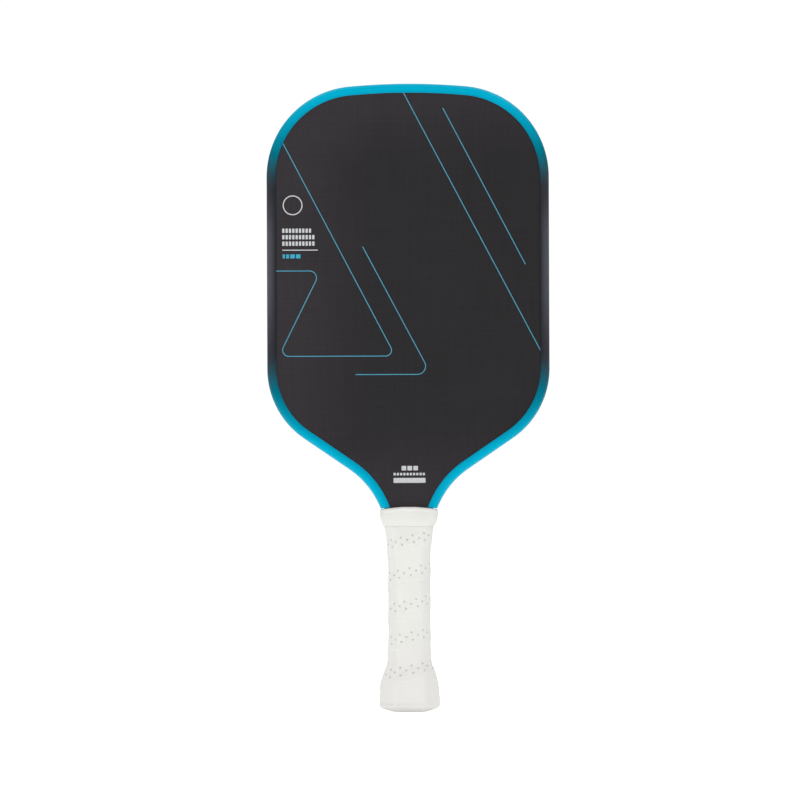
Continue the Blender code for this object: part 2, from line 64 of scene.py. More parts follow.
# Outline of the paddle, as the solids have it, in millimetres.
LENGTH = cad_high[2] / MM
HALF_WIDTH = cad_high[0] / MM
CROWN_RADIUS = 430.0
CORNER_RADIUS = 60.6
SHOULDER_RADIUS = 56.3
SHOULDER_HEIGHT = 228.8
FLANK_SLOPE = math.radians(34.4)
NECK_RADIUS = 56.7
NECK_HALF_WIDTH = 15.1
BLANK_INSET = 2.5
SHEET_OUTER = 8.0
GAP = 0.3
CROWN_STEPS, CORNER_STEPS, SHOULDER_STEPS, NECK_STEPS = 8, 48, 28, 32

# Face: pitch of the peel ply's squares, and where painted light makes it paler, as (not yet, fully).
PLY_PITCH = 0.8
PAINTED_LIGHT_LEFT, PAINTED_LIGHT_FOOT, PAINTED_LIGHT_HEAD = (-15.0, -85.0), (200.0, 140.0), (360.0, 430.0)

# Edge guard. A reflection painted on its dark sides comes in and goes out between two heights each.
GUARD_HALF_THICKNESS = 9.5
GUARD_NOSE_DEPTH = 3.0
GUARD_LIP_DEPTH = 6.2
GUARD_LIP_DROP = 0.8
GUARD_WEB = 1.5
GUARD_END, GUARD_END_TILT = 135.5, 0.143
FADE_TOP_BLUE, FADE_TOP_DARK = 412.0, 347.0
FADE_LOW_DARK, FADE_LOW_BLUE = 241.0, 173.0
PAINTED_SHEEN_IN, PAINTED_SHEEN_OUT = (232.0, 288.0), (352.0, 312.0)
FADE_GRIT = 12.0
NOSE_STEPS, LIP_STEPS = 14, 6

# Round edge of a guard lip: how far each point stays short of the full depth, and how far off
# the channel's side it is.
LIP_EDGE_DEPTH = 0.2
LIP_EDGE = ((0.03, 0.28), (0.0, 0.14), (0.05, 0.0))

# Handle and grip. A curve is the power by which a flare grows.
PALLET_TOP, PALLET_END_TOP = 14.2, 9.2
PALLET_CUT, PALLET_SIDE = 5.0, 8.6
PALLET_RAMP_START, PALLET_END = 113.3, 134.2
GRIP_HALF_X, GRIP_HALF_Y = 14.3, 16.1
GRIP_CUT, GRIP_ROUND = 6.1, 4.0
GRIP_THICKNESS = 1.6
GRIP_STEP, GRIP_END = 123.7, 130.2
GRIP_NECK_X = 16.1
BUTT_HALF_X, BUTT_HALF_Y, BUTT_CUT = 20.3, cad_high[1] / MM, 9.5
FLARE_LOW, FLARE_HIGH, TAPER_END = 9.2, 31.2, 59.0
FLARE_FOOT_X = 15.2
NECK_FLARE_START, NECK_FLARE = 93.0, 2.4
FLARE_CURVE, TAPER_CURVE, NECK_CURVE = 2.4, 2.0, 2.5

# Butt cap: domed end, flange under the tape, wall inside the flare, and pocket for the handle.
FLANGE_TOP, FLANGE_SPREAD, FLANGE_CURVE, FLANGE_STEPS = 5.2, 10.5, 2.7, 12
FLANGE_ROUND, WALL_ROUND, POCKET_ROUND = 5.0, 3.0, 0.6
FLARE_HEIGHTS = (FLARE_LOW, 13.0, 17.0, 21.0, 25.0)
CAP_TOP, POCKET_FLOOR = 29.0, 6.0

# Badge: its seat in the cap has a fine bevel. The profile is (inset from the rim, height).
BADGE_RADIUS, BADGE_THICKNESS, BADGE_RECESS = 8.5, 0.6, 0.9
BADGE_SEAT_BEVEL = 0.12
BADGE_CORNERS = 96
BADGE_PROFILE = (
    (1.9, 0.0),
    (1.7, 0.16),
    (1.3, 0.16),
    (1.1, 0.0),
    (0.2, 0.0),
    (0.0, 0.2),
    (0.0, BADGE_THICKNESS),
)

# Collar: outside.
COLLAR_LOW, COLLAR_WIDEST, COLLAR_RIM = 123.9, 132.0, 135.1
COLLAR_LOW_X, COLLAR_WIDE_X, COLLAR_RIM_X = 17.4, 19.5, 19.1
COLLAR_LOW_Y, COLLAR_RIM_Y = 14.7, 11.4
COLLAR_LOW_CUT, COLLAR_RIM_CUT = 5.0, 3.2
COLLAR_ARCH, COLLAR_ARCH_START = 1.7, 125.2
COLLAR_WIDTH_CURVE, COLLAR_DEPTH_CURVE = 1.4, 1.8
COLLAR_ROUND, COLLAR_STEPS = 4.0, 16

# Lower lip of the collar: it starts as a thin film on the grip and thickens upward. Half width,
# half depth and corner cut each do so over a reach of their own.
LIP_FILM = 0.12
LIP_REACHES = (0.8, 2.6, 2.6)

# Bead along the rim: how far below the rim it starts, its radius, how far it bulges out and how
# far its top turns in.
BEAD_FOOT, BEAD_RADIUS, BEAD_BULGE, BEAD_TURN_IN = 2.4, 1.1, 0.28, 0.7
BEAD_ROUND, BEAD_STEPS = 3.8, 8

# Mouth of the collar round the blank: clearance at the sides and at the faces, corner cut,
# rounding and depth below the rim.
COLLAR_MOUTH = ((0.8, 0.9, 0.6, 0.5, 0.0), (GAP, 0.35, 0.4, 0.3, 0.4))

# Throat of the collar round the pallets, then its inside on the tape, as (height, clearance).
COLLAR_THROAT, THROAT_ROUND = (PALLET_END + GAP, GRIP_END + 1.0), 0.4
COLLAR_INSIDE = ((GRIP_END + GAP, 0.8), (127.6, 0.8), (126.2, 0.6), (125.0, 0.1), (COLLAR_LOW, 0.02))
COLLAR_INSIDE_ROUND = 2.5

# Winding of the tape: one turn rises by the pitch, and the next turn covers its upper edge.
# The step over that edge fades out above the overlap. The lowest turns spread a little where
# the handle widens. The tape is wound past the end of the grip and trimmed there.
WIND_PITCH = 21.5
WIND_OVERLAP = 3.0
WIND_START = -21.2
WIND_PAST_END = 2.0
SPREAD_TOP, SPREAD = 50.0, 1.4
TAPE_STEP = 0.3
STEP_FADE = 4.5
TAPE_DEPTH = 0.9
TAPE_CLEARANCE = 0.04
UNDERSIDE_STEPS = 14

# Perforations: pitch along the tape, distance between rows, and place of the middle row.
HOLE_PITCH = 7.8
HOLE_ROW = 2.45
HOLE_BAND = 7.2
HOLE_RADIUS = 0.6
HOLES_FROM = 15.0
HOLE_PHASE = -0.008
HOLE_CORNERS = 20
COLUMNS_PER_HOLE = 4

# Rings of points down into a perforation, as (radius over the hole's own, depth). Its inside
# has painted shade, full from the third ring on.
HOLE_RINGS = ((1.55, 0.0), (1.15, 0.07), (0.95, 0.25), (0.8, 0.62))
HOLE_SHADE_DEPTH, HOLE_SHADE = 0.25, 0.2

# Heights between which the grip's skin turns from clean to handled.
HANDLED = (60.0, 22.0)


def polar(centre, reach, angle):
    """The point at a distance and an angle from a centre."""
    return centre[0] + reach * math.cos(angle), centre[1] + reach * math.sin(angle)


def linear(red, green, blue):
    """A colour given as 0 to 255 display values, as linear light."""
    values = []
    for value in (red, green, blue):
        share = value / 255.0
        values.append(share / 12.92 if share <= 0.04045 else ((share + 0.055) / 1.055) ** 2.4)
    return (*values, 1.0)


# ---------------------------------------------------------------- materials


class Surface:
    """A Principled material with short calls to add and join nodes."""

    def __init__(self, name, roughness, metallic=0.0):
        self.material = bpy.data.materials.new(name)
        self.material.use_nodes = True
        self.tree = self.material.node_tree
        self.shader = self.tree.nodes["Principled BSDF"]
        self.shader.inputs["Roughness"].default_value = roughness
        self.shader.inputs["Metallic"].default_value = metallic
        coordinates = self.tree.nodes.new("ShaderNodeTexCoord")
        scaled = self.tree.nodes.new("ShaderNodeVectorMath")
        scaled.operation = "SCALE"
        scaled.inputs["Scale"].default_value = 1.0 / MM
        self.tree.links.new(coordinates.outputs["Object"], scaled.inputs[0])
        self.place = scaled.outputs[0]
        split = self.tree.nodes.new("ShaderNodeSeparateXYZ")
        self.tree.links.new(self.place, split.inputs[0])
        self.x, self.y, self.z = split.outputs

    def put(self, socket, value):
        """Joins a node's output to a socket, or sets the socket to a number."""
        if isinstance(value, bpy.types.NodeSocket):
            self.tree.links.new(value, socket)
        else:
            socket.default_value = value

    def math(self, operation, first, second=0.0, third=0.0):
        """One step of arithmetic."""
        node = self.tree.nodes.new("ShaderNodeMath")
        node.operation = operation
        for socket, value in zip(node.inputs, (first, second, third)):
            self.put(socket, value)
        return node.outputs[0]

    def stretch(self, x, y, z):
        """Coordinates in millimetres, multiplied along each axis."""
        node = self.tree.nodes.new("ShaderNodeVectorMath")
        node.operation = "MULTIPLY"
        self.put(node.inputs[0], self.place)
        node.inputs[1].default_value = (x, y, z)
        return node.outputs[0]

    def noise(self, scale, detail=2.0, place=None):
        """Noise from 0 to 1 with about scale features in a millimetre."""
        node = self.tree.nodes.new("ShaderNodeTexNoise")
        self.put(node.inputs["Vector"], place or self.place)
        node.inputs["Scale"].default_value = scale
        node.inputs["Detail"].default_value = detail
        return node.outputs["Fac"]

    def cells(self, scale, place=None):
        """Distance to the middle of the nearest of many small cells."""
        node = self.tree.nodes.new("ShaderNodeTexVoronoi")
        self.put(node.inputs["Vector"], place or self.place)
        node.inputs["Scale"].default_value = scale
        return node.outputs["Distance"]

    def attribute(self, name):
        """A number that the mesh holds for each of its points."""
        node = self.tree.nodes.new("ShaderNodeAttribute")
        node.attribute_name = name
        return node.outputs["Fac"]

    def span(self, value, low, high, to_low=0.0, to_high=1.0, smooth=False):
        """A value between low and high, mapped to a new range and held at its ends."""
        node = self.tree.nodes.new("ShaderNodeMapRange")
        node.interpolation_type = "SMOOTHSTEP" if smooth else "LINEAR"
        self.put(node.inputs["Value"], value)
        node.inputs["From Min"].default_value = low
        node.inputs["From Max"].default_value = high
        node.inputs["To Min"].default_value = to_low
        node.inputs["To Max"].default_value = to_high
        return node.outputs["Result"]

    def blend(self, share, first, second):
        """A colour between two, the second at a share of 1."""
        node = self.tree.nodes.new("ShaderNodeMix")
        node.data_type = "RGBA"
        self.put(node.inputs["Factor"], share)
        self.put(node.inputs["A"], first)
        self.put(node.inputs["B"], second)
        return node.outputs["Result"]

    def colour(self, value):
        self.put(self.shader.inputs["Base Color"], value)

    def roughness(self, value):
        self.put(self.shader.inputs["Roughness"], value)

    def bump(self, height, depth_mm, strength=1.0):
        """Relief whose height of 1 stands for a depth in millimetres."""
        node = self.tree.nodes.new("ShaderNodeBump")
        node.inputs["Strength"].default_value = strength
        node.inputs["Distance"].default_value = depth_mm * MM
        self.put(node.inputs["Height"], height)
        self.tree.links.new(node.outputs[0], self.shader.inputs["Normal"])


def carbon_surface():
    """Charcoal laminate with the fine square grain that a peel ply leaves, made paler by painted
    light towards the left and towards its lower and upper ends.
    """
    made = Surface("carbon_peel_ply", 0.5)
    across = made.math("SINE", made.math("MULTIPLY", made.x, TURN / PLY_PITCH))
    along = made.math("SINE", made.math("MULTIPLY", made.z, TURN / PLY_PITCH))
    weave = made.span(made.math("MULTIPLY", across, along), -1.0, 1.0)
    warp = made.noise(0.6, 3.0, made.stretch(1.0, 1.0, 0.04))
    weft = made.noise(0.6, 3.0, made.stretch(0.04, 1.0, 1.0))
    streaks = made.math("ADD", warp, weft)
    cloud = made.noise(0.012, 2.0)
    tone = made.math("MULTIPLY_ADD", streaks, 0.45, made.math("MULTIPLY", weave, 0.35))
    tone = made.math("MULTIPLY_ADD", cloud, 0.35, tone)
    share = made.span(tone, 0.35, 1.2)
    deep = made.blend(share, linear(20, 18, 20), linear(38, 36, 39))
    pale = made.blend(share, linear(34, 29, 34), linear(52, 48, 52))
    # Painted light: the face turns paler towards the left and towards its lower and upper ends.
    left = made.span(made.x, *PAINTED_LIGHT_LEFT, smooth=True)
    painted_light_foot = made.span(made.z, *PAINTED_LIGHT_FOOT, smooth=True)
    painted_light_head = made.span(made.z, *PAINTED_LIGHT_HEAD, smooth=True)
    made.colour(made.blend(made.math("ADD", made.math("MAXIMUM", left, painted_light_foot), painted_light_head), deep, pale))
    made.roughness(made.span(made.math("ADD", weave, streaks), 0.6, 1.6, 0.46, 0.62))
    made.bump(made.math("ADD", weave, made.math("MULTIPLY", streaks, 0.8)), 0.05, 0.6)
    made.shader.inputs["Specular IOR Level"].default_value = 0.2
    return made.material


def guard_surface():
    """Satin extrusion: blue at both ends, sprayed over to near black along the sides, with painted
    highlight towards the rounded nose, painted shade towards the lips and a painted reflection on
    the dark sides.
    """
    made = Surface("guard_fade", 0.36)
    grit = made.math("MULTIPLY", made.math("SUBTRACT", made.noise(1.6, 4.0), 0.5), FADE_GRIT)
    height = made.math("ADD", made.z, grit)
    upper = made.span(height, FADE_TOP_DARK, FADE_TOP_BLUE, smooth=True)
    lower = made.span(height, FADE_LOW_DARK, FADE_LOW_BLUE, smooth=True)
    blue = made.math("MAXIMUM", upper, lower)
    # Painted highlight and shade: the colour is lighter towards the rounded nose and darker towards
    # the lips.
    nose = made.span(made.attribute("depth"), GUARD_LIP_DEPTH, 0.0)
    # Painted reflection: a lighter band on the dark sides, between two heights.
    painted_sheen_in = made.span(made.z, *PAINTED_SHEEN_IN, smooth=True)
    painted_sheen_out = made.span(made.z, *PAINTED_SHEEN_OUT, smooth=True)
    painted_sheen = made.math("MULTIPLY", painted_sheen_in, painted_sheen_out)
    cyan = made.blend(nose, linear(0, 157, 191), linear(0, 187, 221))
    dark_with_painted_reflection = made.blend(painted_sheen, linear(59, 59, 64), linear(93, 93, 101))
    dark = made.blend(nose, linear(40, 40, 44), dark_with_painted_reflection)
    drift = made.span(made.noise(0.02, 2.0), 0.3, 0.7)
    haze = made.blend(made.span(blue, 0.0, 0.32), dark, linear(0, 108, 128))
    faded = made.blend(made.span(blue, 0.32, 1.0), haze, cyan)
    made.colour(made.blend(made.math("MULTIPLY", drift, 0.08), faded, linear(0, 60, 80)))
    grain = made.noise(5.0, 3.0)
    scuff = made.span(made.noise(0.35, 6.0, made.stretch(1.0, 1.0, 0.3)), 0.55, 0.75)
    made.roughness(made.math("MULTIPLY_ADD", scuff, 0.14, made.span(grain, 0.0, 1.0, 0.30, 0.42)))
    made.bump(grain, 0.02, 0.5)
    made.shader.inputs["Specular IOR Level"].default_value = 0.015
    return made.material


def grip_surface():
    """Matt off-white polyurethane with a fine pored skin."""
    made = Surface("grip_skin", 0.62)
    pores = made.cells(3.2)
    grain = made.noise(2.0, 5.0)
    cloud = made.noise(0.05, 3.0)
    clean = made.blend(cloud, linear(229, 229, 223), linear(238, 239, 234))
    handled = made.blend(cloud, linear(230, 227, 223), linear(239, 237, 234))
    skin = made.blend(made.span(made.z, *HANDLED, smooth=True), clean, handled)
    # Painted shade inside the perforations, deeper as the hole value grows.
    shade = made.math("MULTIPLY", made.attribute("hole"), HOLE_SHADE)
    made.colour(made.blend(shade, skin, linear(96, 94, 88)))
    made.roughness(made.span(grain, 0.3, 0.7, 0.55, 0.72))
    made.bump(made.math("MULTIPLY_ADD", grain, 0.5, pores), 0.06, 0.5)
    return made.material


def collar_surface():
    """Smooth stretched rubber, a little duller along scuffed places."""
    made = Surface("collar_rubber_skin", 0.5)
    grain = made.noise(3.0, 4.0)
    cloud = made.noise(0.08, 2.0)
    made.colour(made.blend(cloud, linear(230, 230, 224), linear(238, 238, 233)))
    made.roughness(made.span(grain, 0.2, 0.8, 0.42, 0.58))
    made.bump(grain, 0.03, 0.5)
    return made.material


def cap_surface():
    """Satin rubber of the butt cap, in the tone of the handled tape beside it."""
    made = Surface("cap_rubber_skin", 0.55)
    grain = made.noise(2.5, 4.0)
    cloud = made.noise(0.06, 2.0)
    made.colour(made.blend(cloud, linear(230, 227, 223), linear(239, 237, 234)))
    made.roughness(made.span(grain, 0.2, 0.8, 0.48, 0.64))
    made.bump(grain, 0.05, 0.5)
    return made.material


def ink_surface(name, low, high):
    """Screen ink that lets the grain of the laminate show through as unevenness."""
    made = Surface(name, 0.45)
    grain = made.noise(2.2, 3.0)
    made.colour(made.blend(made.span(grain, 0.35, 0.65), low, high))
    made.roughness(made.span(grain, 0.2, 0.8, 0.4, 0.55))
    made.bump(grain, 0.02, 0.4)
    return made.material


def plain_surface(name, low, high, roughness, scale, metallic, depth):
    """Mottled colour with a matching grain, for the badge and the pieces inside."""
    made = Surface(name, roughness, metallic)
    grain = made.noise(scale, 4.0)
    made.colour(made.blend(made.span(grain, 0.3, 0.7), low, high))
    made.roughness(made.span(grain, 0.2, 0.8, roughness - 0.08, roughness + 0.08))
    made.bump(grain, depth, 0.5)
    return made.material


# ---------------------------------------------------------------- shapes


def arc(centre_x, centre_z, radius, start, end, steps):
    """Points on an arc. Angles are measured from straight up, towards +X."""
    points = []
    for step in range(steps + 1):
        angle = start + (end - start) * step / steps
        points.append((centre_x + radius * math.sin(angle), centre_z + radius * math.cos(angle)))
    return points


def half_outline(inset):
    """Right half of the outline moved inward by inset, from the crown down the neck."""
    corner_x = HALF_WIDTH - CORNER_RADIUS
    crown_z = LENGTH - CROWN_RADIUS
    corner_z = crown_z + math.sqrt((CROWN_RADIUS - CORNER_RADIUS) ** 2 - corner_x**2)
    crown_angle = math.atan2(corner_x, corner_z - crown_z)
    shoulder_x = HALF_WIDTH - SHOULDER_RADIUS
    flank_angle = math.pi - FLANK_SLOPE
    neck_x = NECK_HALF_WIDTH + NECK_RADIUS
    flank_x = shoulder_x + SHOULDER_RADIUS * math.sin(FLANK_SLOPE)
    flank_z = SHOULDER_HEIGHT - SHOULDER_RADIUS * math.cos(FLANK_SLOPE)
    neck_top_x = neck_x - NECK_RADIUS * math.sin(FLANK_SLOPE)
    neck_top_z = flank_z - (flank_x - neck_top_x) * math.tan(FLANK_SLOPE)
    neck_z = neck_top_z - NECK_RADIUS * math.cos(FLANK_SLOPE)
    crown = arc(0.0, crown_z, CROWN_RADIUS - inset, 0.0, crown_angle, CROWN_STEPS)
    corner_reach = CORNER_RADIUS - inset
    corner = arc(corner_x, corner_z, corner_reach, crown_angle, QUARTER_TURN, CORNER_STEPS)
    shoulder_reach = SHOULDER_RADIUS - inset
    shoulder = arc(
        shoulder_x, SHOULDER_HEIGHT, shoulder_reach, QUARTER_TURN, flank_angle, SHOULDER_STEPS
    )
    neck = arc(neck_x, neck_z, NECK_RADIUS + inset, -FLANK_SLOPE, -QUARTER_TURN, NECK_STEPS)
    end = [(NECK_HALF_WIDTH - inset, 0.0)]
    return crown + corner[1:] + shoulder + neck + end


def half_width_at(points, level):
    """Where a falling line crosses a height."""
    for first, second in zip(points, points[1:]):
        if second[1] <= level:
            share = (first[1] - level) / (first[1] - second[1])
            return first[0] + (second[0] - first[0]) * share
    return points[-1][0]


BLANK_EDGE = half_outline(BLANK_INSET)


def new_piece(name, bm, surface, replaced=(), sharp=40):
    """Writes a bmesh given in millimetres as a smooth piece that rides on the paddle."""
    bmesh.ops.recalc_face_normals(bm, faces=bm.faces)
    bmesh.ops.scale(bm, vec=(MM, MM, MM), verts=bm.verts)
    mesh = bpy.data.meshes.new(name)
    bm.to_mesh(mesh)
    bm.free()
    mesh.materials.append(surface)
    mesh.polygons.foreach_set("use_smooth", [True] * len(mesh.polygons))
    mesh.set_sharp_from_angle(angle=math.radians(sharp))
    piece = bpy.data.objects.new(name, mesh)
    bpy.context.scene.collection.objects.link(piece)
    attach(piece, "root")
    if replaced:
        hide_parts(*replaced)
    return piece


def trim(bm, geometry, place, outward):
    """Cuts off what lies beyond a plane and closes the opening."""
    cut = bmesh.ops.bisect_plane(
        bm, geom=geometry, dist=CUT_REACH, plane_co=place, plane_no=outward, clear_outer=True
    )
    rim = [item for item in cut["geom_cut"] if isinstance(item, bmesh.types.BMEdge)]
    bmesh.ops.contextual_create(bm, geom=rim)


def guard_profile():
    """Closed (depth, y) section: rounded nose, thinning lips with round edges, channel."""
    half = []
    for step in range(NOSE_STEPS + 1):
        angle = QUARTER_TURN * step / NOSE_STEPS
        depth = GUARD_NOSE_DEPTH * (1.0 - math.cos(angle))
        half.append((depth, GUARD_HALF_THICKNESS * math.sin(angle)))
    lip = GUARD_LIP_DEPTH - LIP_EDGE_DEPTH - GUARD_NOSE_DEPTH
    for step in range(1, LIP_STEPS + 1):
        share = step / LIP_STEPS
        y = GUARD_HALF_THICKNESS - GUARD_LIP_DROP * share**2
        half.append((GUARD_NOSE_DEPTH + lip * share, y))
    floor = SHEET_OUTER + GAP
    for short, off in LIP_EDGE:
        half.append((GUARD_LIP_DEPTH - short, floor + off))
    half.append((GUARD_WEB, floor))
    return half + [(depth, -y) for depth, y in reversed(half[1:])]


def build_guard(surface):
    """The guard's section swept round the outline, with both ends cut square to the neck."""
    bm = bmesh.new()
    rows = []
    layer = bm.verts.layers.float.new("depth")
    for depth, y in guard_profile():
        line = half_outline(depth)
        left = [(-x, z) for x, z in reversed(line) if x > MIDDLE_REACH]
        rows.append([bm.verts.new((x, y, z)) for x, z in left + line])
        for vert in rows[-1]:
            vert[layer] = depth
    for index in range(len(rows)):
        here, there = rows[index], rows[(index + 1) % len(rows)]
        for station in range(len(here) - 1):
            bm.faces.new((here[station], here[station + 1], there[station + 1], there[station]))
    for side in (-1, 1):
        faces = [face for face in bm.faces if all(vert.co.x * side > 0.0 for vert in face.verts)]
        edges = {edge for face in faces for edge in face.edges}
        verts = {vert for face in faces for vert in face.verts}
        place = (side * COLLAR_RIM_X, 0.0, GUARD_END)
        trim(bm, list(verts) + list(edges) + faces, place, (-side * GUARD_END_TILT, 0.0, -1.0))
    return new_piece("edge_guard_fine", bm, surface, ["edge_guard"])


def facet_spans(half_x, half_y, cut, rounding):
    """The arcs and straights of an eight-sided section, as (kind, (place, heading), length)."""
    corners = [
        (half_x, cut - half_y),
        (half_x, half_y - cut),
        (half_x - cut, half_y),
        (cut - half_x, half_y),
        (-half_x, half_y - cut),
        (-half_x, cut - half_y),
        (cut - half_x, -half_y),
        (half_x - cut, -half_y),
    ]
    reach = rounding * math.tan(EIGHTH_TURN / 2)
    spans = []
    for index, corner in enumerate(corners):
        coming = (index + 1) * EIGHTH_TURN
        leaving = coming + EIGHTH_TURN
        centre = polar(polar(corner, -reach, coming), rounding, coming + QUARTER_TURN)
        spans.append(("arc", (centre, coming - QUARTER_TURN), rounding * EIGHTH_TURN))
        following = corners[(index + 1) % len(corners)]
        length = math.dist(corner, following) - 2 * reach
        spans.append(("line", (polar(corner, reach, leaving), leaving), length))
    return spans


# Which of the spans is the straight across the front.
FRONT_SPAN = 13


def point_on(size, rounding, turns):
    """Point and outward direction on a section, at a number of turns from its front middle."""
    spans = facet_spans(*size, rounding)
    lengths = [span[2] for span in spans]
    perimeter = sum(lengths)
    reach = (turns % 1.0) * perimeter + sum(lengths[:FRONT_SPAN]) + lengths[FRONT_SPAN] / 2
    reach %= perimeter
    index = 0
    while index < len(spans) - 1 and reach >= lengths[index]:
        reach -= lengths[index]
        index += 1
    kind, (place, heading), _ = spans[index]
    if kind == "arc":
        angle = heading + reach / rounding
        return polar(place, rounding, angle), (math.cos(angle), math.sin(angle))
    return polar(place, reach, heading), (math.sin(heading), -math.cos(heading))


def perimeter_of(size, rounding):
    """The length of tape that one level turn round a section takes."""
    return sum(span[2] for span in facet_spans(*size, rounding))


ARC_PARTS, LINE_PARTS = 6, 3


def ring(size, rounding, z, arch=0.0):
    """Points round a section, the same number on every arc and on every straight."""
    points = []
    for kind, (place, heading), length in facet_spans(*size, rounding):
        if kind == "arc":
            for part in range(ARC_PARTS):
                points.append(polar(place, rounding, heading + EIGHTH_TURN * part / ARC_PARTS))
        else:
            for part in range(LINE_PARTS):
                points.append(polar(place, length * part / LINE_PARTS, heading))
    return [(x, y, z + arch * (1.0 - (x / size[0]) ** 2)) for x, y in points]


def round_ring(radius, z):
    """A circle with the same number of points as a ring, in the same directions."""
    points = []
    for x, y, _ in ring((BUTT_HALF_X, BUTT_HALF_Y, BUTT_CUT), GRIP_ROUND, 0.0):
        length = math.hypot(x, y)
        points.append((x / length * radius, y / length * radius, z))
    return points


def loft(rings, joined=False):
    """Skins rings in order. Joined, the last meets the first. Otherwise both ends are capped."""
    bm = bmesh.new()
    rows = [[bm.verts.new(point) for point in one] for one in rings]
    pairs = list(zip(rows, rows[1:]))
    if joined:
        pairs.append((rows[-1], rows[0]))
    else:
        bm.faces.new(rows[0])
        bm.faces.new(rows[-1])
    for low, high in pairs:
        for index in range(len(low)):
            following = (index + 1) % len(low)
            bm.faces.new((low[index], low[following], high[following], high[index]))
    return bm


def grip_half_x(z):
    """Outer half width of the grip at a height."""
    if z <= FLARE_LOW:
        return BUTT_HALF_X
    if z <= FLARE_HIGH:
        share = (z - FLARE_LOW) / (FLARE_HIGH - FLARE_LOW)
        return BUTT_HALF_X - (BUTT_HALF_X - FLARE_FOOT_X) * share**FLARE_CURVE
    if z <= TAPER_END:
        share = (TAPER_END - z) / (TAPER_END - FLARE_HIGH)
        return GRIP_HALF_X + (FLARE_FOOT_X - GRIP_HALF_X) * share**TAPER_CURVE
    share = max(0.0, (z - NECK_FLARE_START) / (GRIP_STEP - NECK_FLARE_START))
    return GRIP_HALF_X + NECK_FLARE * share**NECK_CURVE


def butt_share(z):
    """1 at the full size of the butt and 0 along the handle."""
    if z > TAPER_END:
        return 0.0
    return (grip_half_x(z) - GRIP_HALF_X) / (BUTT_HALF_X - GRIP_HALF_X)


def grown(half_x, half_y, cut, amount):
    """An eight-sided section moved outward by an amount on every side."""
    return half_x + amount, half_y + amount, cut + (2.0 - math.sqrt(2.0)) * amount


def handle_size(z, amount=0.0):
    """Half sizes and corner cut around the bare handle, moved outward by an amount."""
    ramp = (z - PALLET_RAMP_START) / (PALLET_END - PALLET_RAMP_START)
    top = PALLET_TOP - (PALLET_TOP - PALLET_END_TOP) * min(1.0, max(0.0, ramp))
    cut = min(PALLET_CUT, top - PALLET_SIDE)
    return grown(half_width_at(BLANK_EDGE, z), top, cut, amount)


def grip_size(z, amount=0.0):
    """Half sizes and corner cut of the outside of the grip, moved outward by an amount."""
    wide = butt_share(z)
    half_y = GRIP_HALF_Y + (BUTT_HALF_Y - GRIP_HALF_Y) * wide
    cut = GRIP_CUT + (BUTT_CUT - GRIP_CUT) * wide
    half_x = grip_half_x(z)
    if z > PALLET_RAMP_START:
        half_y, cut = handle_size(z, GAP + GRIP_THICKNESS)[1:]
    if z > GRIP_STEP:
        half_x = GRIP_NECK_X
    return grown(half_x, half_y, cut, amount)


def tape_height(across):
    """How far the tape's surface stands over its own base, at a distance above its lower edge."""
    if across < WIND_OVERLAP:
        return TAPE_STEP
    if across < WIND_OVERLAP + STEP_FADE:
        share = (across - WIND_OVERLAP) / STEP_FADE
        return TAPE_STEP * (1.0 - share * share * (3.0 - 2.0 * share))
    return 0.0


def tape_size(z):
    """The grip's section at a height, or at the nearest end of the grip."""
    return grip_size(min(max(z, 0.0), GRIP_END))


def tape_point(turns, across, sink=0.0):
    """Point of the wound tape, at a number of turns, a distance across and a depth in it."""
    width = perimeter_of(tape_size(WIND_START + WIND_PITCH * turns), GRIP_ROUND)
    lean = (across - HOLE_BAND) * WIND_PITCH / width**2
    z = WIND_START + WIND_PITCH * (turns - lean) + across
    z -= SPREAD * max(0.0, 1.0 - max(z, 0.0) / SPREAD_TOP)
    (x, y), normal = point_on(tape_size(z), GRIP_ROUND, turns - lean)
    out = tape_height(across) - TAPE_STEP - sink
    return (x + normal[0] * out, y + normal[1] * out, z)


def tape_columns():
    """Turns at each column of the tape. Columns are evenly far apart along the tape."""
    columns = [HOLE_PHASE]
    while WIND_START + WIND_PITCH * columns[-1] < GRIP_END + WIND_PAST_END:
        size = tape_size(WIND_START + WIND_PITCH * columns[-1] + HOLE_BAND)
        columns.append(columns[-1] + HOLE_PITCH / COLUMNS_PER_HOLE / perimeter_of(size, GRIP_ROUND))
    return columns


# Rows across the tape, as (distance above the lower edge, depth below the surface).
EDGE_ROWS = ((0.0, 0.28), (0.1, 0.13), (0.3, 0.03), (0.7, 0.0))
LOW_ROWS = tuple((across, 0.0) for across in (1.5, 2.4))
HOLE_ROWS = tuple((HOLE_BAND + HOLE_ROW * (row - 1.5), 0.0) for row in range(4))
HIGH_ROWS = tuple((across, 0.0) for across in (13.5, 17.5, WIND_PITCH, WIND_PITCH + WIND_OVERLAP))


